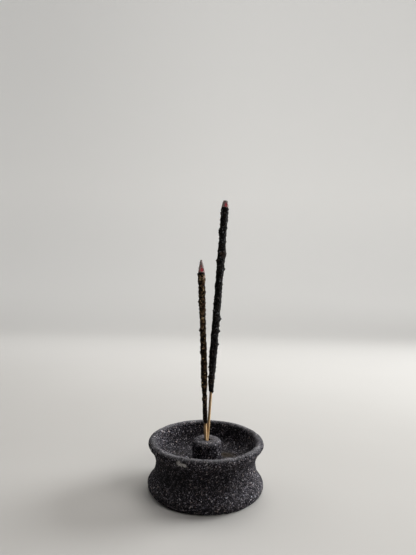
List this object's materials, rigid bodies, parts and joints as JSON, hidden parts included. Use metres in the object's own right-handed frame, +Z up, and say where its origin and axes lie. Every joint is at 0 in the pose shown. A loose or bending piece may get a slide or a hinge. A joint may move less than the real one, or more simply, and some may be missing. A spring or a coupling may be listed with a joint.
{
  "type": "incense burner",
  "caption": "Round stone incense burner: a waisted bowl with a socketed boss in its middle and two burning incense sticks that lift out of the socket.",
  "frame": {"origin": "centre of the foot's flat underside, on the bowl's axis", "axes": "+Z up along the bowl's axis; -Y towards the user, the side from which the short stick stands in front and the long stick leans to the right"},
  "size_m": [0.1, 0.1, 0.2492],
  "materials": {
    "bowl_stone": "matte",
    "bamboo": "matte",
    "charcoal_paste": "matte",
    "herb_paste": "matte",
    "dark_resin": "satin",
    "amber_resin": "satin",
    "bark": "matte",
    "ember": "matte",
    "ash": "matte"
  },
  "bodies": {
    "burner": {"stone_bowl": "bowl_stone", "fallen_ash": "ash"},
    "long_stick": {"long_stick_bamboo": "bamboo", "long_stick_paste": "charcoal_paste", "long_stick_resin_grains": "dark_resin", "long_stick_ember": "ember", "long_stick_ash": "ash"},
    "short_stick": {"short_stick_bamboo": "bamboo", "short_stick_paste": "herb_paste", "short_stick_resin_grains": "amber_resin", "short_stick_bark_flakes": "bark", "short_stick_ember": "ember", "short_stick_ash": "ash"}
  },
  "joints": [
    {"name": "long_stick_pull", "type": "slide", "parent": "burner", "child": "long_stick", "axis": [0.0579, -0.0188, 0.9981], "range_m": [0, 0.03]},
    {"name": "short_stick_pull", "type": "slide", "parent": "burner", "child": "short_stick", "axis": [-0.044, 0.0135, 0.9989], "range_m": [0, 0.03]}
  ]
}
